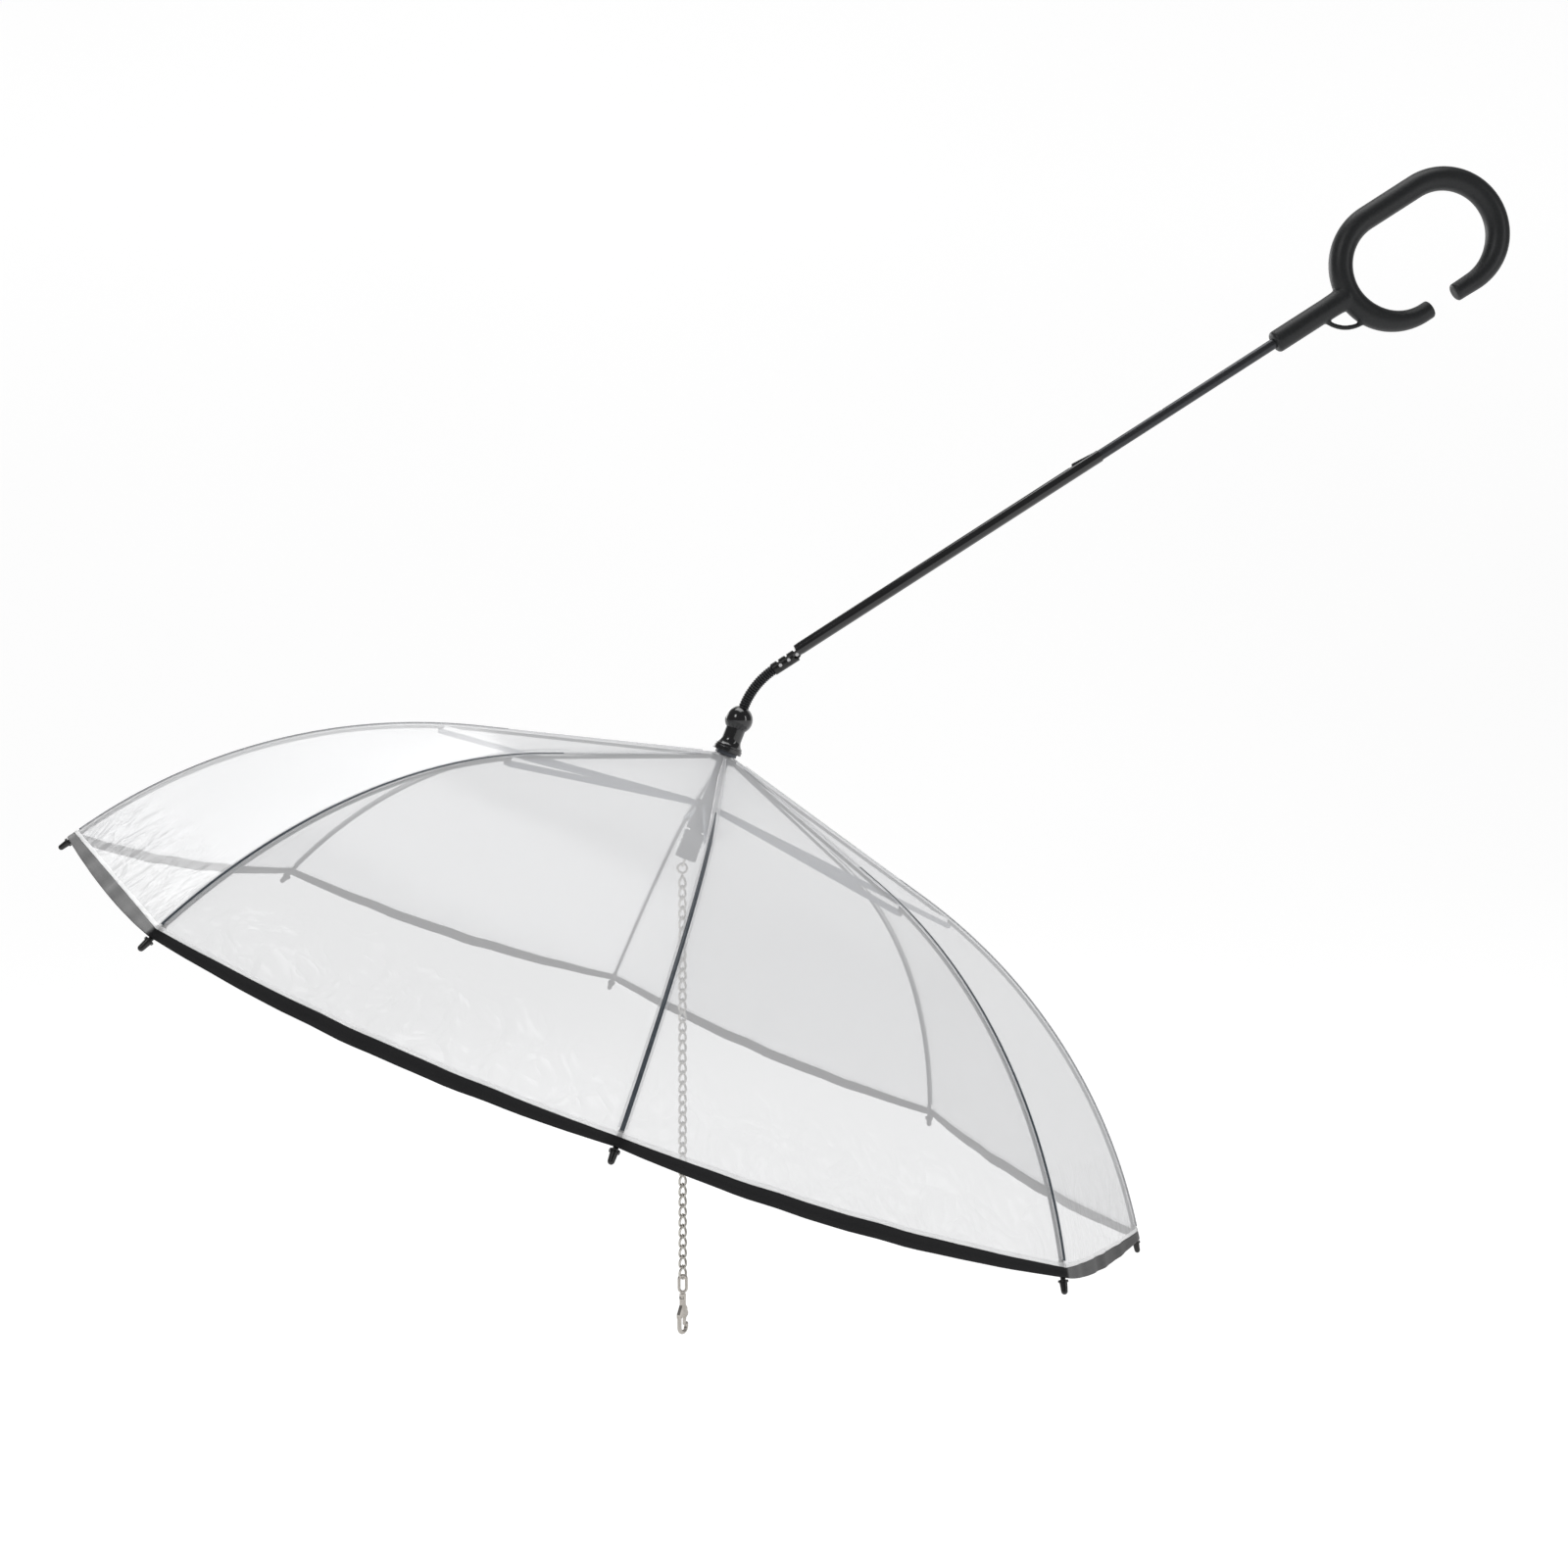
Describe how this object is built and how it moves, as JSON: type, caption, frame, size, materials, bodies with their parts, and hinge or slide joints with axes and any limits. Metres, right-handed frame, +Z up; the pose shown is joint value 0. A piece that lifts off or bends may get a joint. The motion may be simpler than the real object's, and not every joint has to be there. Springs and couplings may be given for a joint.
{
  "type": "pet umbrella with lead",
  "caption": "Clear dome umbrella carried upside of a pet: C handle, telescopic shaft, riveted elbow, coil gooseneck, folding ribs and a hanging chain lead with a snap hook.",
  "frame": {"origin": "middle of the C-shaped grip, in its plane, where a hand goes through", "axes": "+Z up, +X from the canopy towards the handle, +Y across the umbrella's plane of symmetry"},
  "size_m": [0.9162, 0.7268, 0.7431],
  "materials": {
    "handle": "soft-touch black",
    "tube_gloss": "gloss black",
    "tube_grey": "dark grey lacquer",
    "plastic_black": "gloss black",
    "spring_dark": "black oxide",
    "steel": "bright nickel",
    "plastic_grey": "dark grey",
    "film": "clear film",
    "binding": "black tape",
    "rib_steel": "dark grey enamel"
  },
  "bodies": {
    "handle": {"handle_grip": "handle", "inner_tube": "tube_grey", "slide_bush": "plastic_black"},
    "catch": {"shaft_catch": "spring_dark"},
    "shaft": {"outer_tube": "tube_gloss", "elbow_socket": "tube_gloss", "elbow_rivet_1": "steel"},
    "link_1": {"elbow_link_1": "tube_gloss", "elbow_rivet_2": "steel"},
    "link_2": {"elbow_link_2": "tube_gloss", "elbow_rivet_3": "steel"},
    "link_3": {"elbow_link_3": "tube_gloss", "gooseneck_coil": "spring_dark"},
    "hub": {"ferrule": "plastic_black", "crown_washer": "plastic_grey", "centre_tube": "tube_grey", "top_notch": "plastic_grey", "rib_pins": "steel", "end_block": "plastic_grey", "chain_bail": "steel", "canopy_film": "film", "rim_binding": "binding"},
    "runner": {"runner": "plastic_grey", "stretcher_pins": "steel"},
    "rib_1": {"rib_1": "rib_steel", "rib_tip_1": "plastic_black"},
    "rib_2": {"rib_2": "rib_steel", "rib_tip_2": "plastic_black"},
    "rib_3": {"rib_3": "rib_steel", "rib_tip_3": "plastic_black"},
    "rib_4": {"rib_4": "rib_steel", "rib_tip_4": "plastic_black"},
    "rib_5": {"rib_5": "rib_steel", "rib_tip_5": "plastic_black"},
    "rib_6": {"rib_6": "rib_steel", "rib_tip_6": "plastic_black"},
    "rib_7": {"rib_7": "rib_steel", "rib_tip_7": "plastic_black"},
    "rib_8": {"rib_8": "rib_steel", "rib_tip_8": "plastic_black"},
    "stretcher_1": {"stretcher_1": "rib_steel"},
    "stretcher_2": {"stretcher_2": "rib_steel"},
    "stretcher_3": {"stretcher_3": "rib_steel"},
    "stretcher_4": {"stretcher_4": "rib_steel"},
    "stretcher_5": {"stretcher_5": "rib_steel"},
    "stretcher_6": {"stretcher_6": "rib_steel"},
    "stretcher_7": {"stretcher_7": "rib_steel"},
    "stretcher_8": {"stretcher_8": "rib_steel"},
    "lead": {"chain_ring": "steel", "chain_links": "steel", "swivel_eye": "steel"},
    "hook": {"snap_hook": "steel", "gate_pin": "steel"},
    "gate": {"hook_gate": "steel"}
  },
  "joints": [
    {"name": "shaft_telescope", "type": "slide", "parent": "handle", "child": "shaft", "axis": [0.841, 0, 0.541], "range_m": [0, 0.12], "deforming": ["shaft_catch"]},
    {"name": "catch_press", "type": "hinge", "parent": "handle", "child": "catch", "pos_m": [-0.20873, 0, -0.13188], "axis": [0, -1, 0], "range_deg": [0, 8.5], "stiffness_Nm_per_rad": 0.2},
    {"name": "elbow_1", "type": "hinge", "parent": "shaft", "child": "link_1", "pos_m": [-0.40041, 0, -0.26017], "axis": [0, 1, 0], "range_deg": [0, 25]},
    {"name": "elbow_2", "type": "hinge", "parent": "link_1", "child": "link_2", "pos_m": [-0.40562, 0, -0.26352], "axis": [0, 1, 0], "range_deg": [0, 25]},
    {"name": "elbow_3", "type": "hinge", "parent": "link_2", "child": "link_3", "pos_m": [-0.41083, 0, -0.26687], "axis": [0, 1, 0], "range_deg": [0, 25]},
    {"name": "gooseneck_bend", "type": "hinge", "parent": "link_3", "child": "hub", "pos_m": [-0.42576, 0, -0.27944], "axis": [0, 1, 0], "range_deg": [-20, 20], "stiffness_Nm_per_rad": 6, "springref_deg": 2.86, "deforming": ["gooseneck_coil"]},
    {"name": "runner_slide", "type": "slide", "parent": "hub", "child": "runner", "axis": [0.3616, 0, 0.9323], "range_m": [0, 0.02498], "deforming": ["canopy_film", "rim_binding"]},
    {"name": "rib_1_fold", "type": "hinge", "parent": "hub", "child": "rib_1", "pos_m": [-0.44051, 0, -0.32826], "axis": [0, 1, 0], "range_deg": [0, 57.05]},
    {"name": "rib_2_fold", "type": "hinge", "parent": "hub", "child": "rib_2", "pos_m": [-0.44226, 0.00453, -0.32758], "axis": [-0.6593, 0.7071, 0.2557], "range_deg": [0, 57.05]},
    {"name": "rib_3_fold", "type": "hinge", "parent": "hub", "child": "rib_3", "pos_m": [-0.44648, 0.0064, -0.32595], "axis": [-0.9323, 0, 0.3616], "range_deg": [0, 57.05]},
    {"name": "rib_4_fold", "type": "hinge", "parent": "hub", "child": "rib_4", "pos_m": [-0.45069, 0.00453, -0.32431], "axis": [-0.6593, -0.7071, 0.2557], "range_deg": [0, 57.05]},
    {"name": "rib_5_fold", "type": "hinge", "parent": "hub", "child": "rib_5", "pos_m": [-0.45244, 0, -0.32363], "axis": [0, -1, 0], "range_deg": [0, 57.05]},
    {"name": "rib_6_fold", "type": "hinge", "parent": "hub", "child": "rib_6", "pos_m": [-0.45069, -0.00453, -0.32431], "axis": [0.6593, -0.7071, -0.2557], "range_deg": [0, 57.05]},
    {"name": "rib_7_fold", "type": "hinge", "parent": "hub", "child": "rib_7", "pos_m": [-0.44648, -0.0064, -0.32595], "axis": [0.9323, 0, -0.3616], "range_deg": [0, 57.05]},
    {"name": "rib_8_fold", "type": "hinge", "parent": "hub", "child": "rib_8", "pos_m": [-0.44226, -0.00453, -0.32758], "axis": [0.6593, 0.7071, -0.2557], "range_deg": [0, 57.05]},
    {"name": "stretcher_1_fold", "type": "hinge", "parent": "runner", "child": "stretcher_1", "pos_m": [-0.45175, 0, -0.35726], "axis": [0, 1, 0], "range_deg": [0, 66.85]},
    {"name": "stretcher_2_fold", "type": "hinge", "parent": "runner", "child": "stretcher_2", "pos_m": [-0.4535, 0.00453, -0.35658], "axis": [-0.6593, 0.7071, 0.2557], "range_deg": [0, 66.85]},
    {"name": "stretcher_3_fold", "type": "hinge", "parent": "runner", "child": "stretcher_3", "pos_m": [-0.45772, 0.0064, -0.35494], "axis": [-0.9323, 0, 0.3616], "range_deg": [0, 66.85]},
    {"name": "stretcher_4_fold", "type": "hinge", "parent": "runner", "child": "stretcher_4", "pos_m": [-0.46194, 0.00453, -0.35331], "axis": [-0.6593, -0.7071, 0.2557], "range_deg": [0, 66.85]},
    {"name": "stretcher_5_fold", "type": "hinge", "parent": "runner", "child": "stretcher_5", "pos_m": [-0.46369, 0, -0.35263], "axis": [0, -1, 0], "range_deg": [0, 66.85]},
    {"name": "stretcher_6_fold", "type": "hinge", "parent": "runner", "child": "stretcher_6", "pos_m": [-0.46194, -0.00453, -0.35331], "axis": [0.6593, -0.7071, -0.2557], "range_deg": [0, 66.85]},
    {"name": "stretcher_7_fold", "type": "hinge", "parent": "runner", "child": "stretcher_7", "pos_m": [-0.45772, -0.0064, -0.35494], "axis": [0.9323, 0, -0.3616], "range_deg": [0, 66.85]},
    {"name": "stretcher_8_fold", "type": "hinge", "parent": "runner", "child": "stretcher_8", "pos_m": [-0.4535, -0.00453, -0.35658], "axis": [0.6593, 0.7071, -0.2557], "range_deg": [0, 66.85]},
    {"name": "lead_swing", "type": "hinge", "parent": "hub", "child": "lead", "pos_m": [-0.47255, 0, -0.39317], "axis": [0, 1, 0], "range_deg": [0, 21.25]},
    {"name": "hook_swivel", "type": "hinge", "parent": "lead", "child": "hook", "pos_m": [-0.47255, 0, -0.66607], "axis": [0, 0, 1], "continuous": true},
    {"name": "hook_gate_open", "type": "hinge", "parent": "hook", "child": "gate", "pos_m": [-0.47133, 0.00146, -0.67427], "axis": [-0.766, 0.6428, 0], "range_deg": [0, 17], "stiffness_Nm_per_rad": 0.02}
  ],
  "couplings": [
    {"joint": "rib_1_fold", "follows": "runner_slide", "rad_per_m": 39.833},
    {"joint": "rib_2_fold", "follows": "runner_slide", "rad_per_m": 39.833},
    {"joint": "rib_3_fold", "follows": "runner_slide", "rad_per_m": 39.833},
    {"joint": "rib_4_fold", "follows": "runner_slide", "rad_per_m": 39.833},
    {"joint": "rib_5_fold", "follows": "runner_slide", "rad_per_m": 39.833},
    {"joint": "rib_6_fold", "follows": "runner_slide", "rad_per_m": 39.833},
    {"joint": "rib_7_fold", "follows": "runner_slide", "rad_per_m": 39.833},
    {"joint": "rib_8_fold", "follows": "runner_slide", "rad_per_m": 39.833},
    {"joint": "stretcher_1_fold", "follows": "runner_slide", "rad_per_m": 46.675},
    {"joint": "stretcher_2_fold", "follows": "runner_slide", "rad_per_m": 46.675},
    {"joint": "stretcher_3_fold", "follows": "runner_slide", "rad_per_m": 46.675},
    {"joint": "stretcher_4_fold", "follows": "runner_slide", "rad_per_m": 46.675},
    {"joint": "stretcher_5_fold", "follows": "runner_slide", "rad_per_m": 46.675},
    {"joint": "stretcher_6_fold", "follows": "runner_slide", "rad_per_m": 46.675},
    {"joint": "stretcher_7_fold", "follows": "runner_slide", "rad_per_m": 46.675},
    {"joint": "stretcher_8_fold", "follows": "runner_slide", "rad_per_m": 46.675},
    {"joint": "lead_swing", "follows": "runner_slide", "rad_per_m": 14.815}
  ]
}
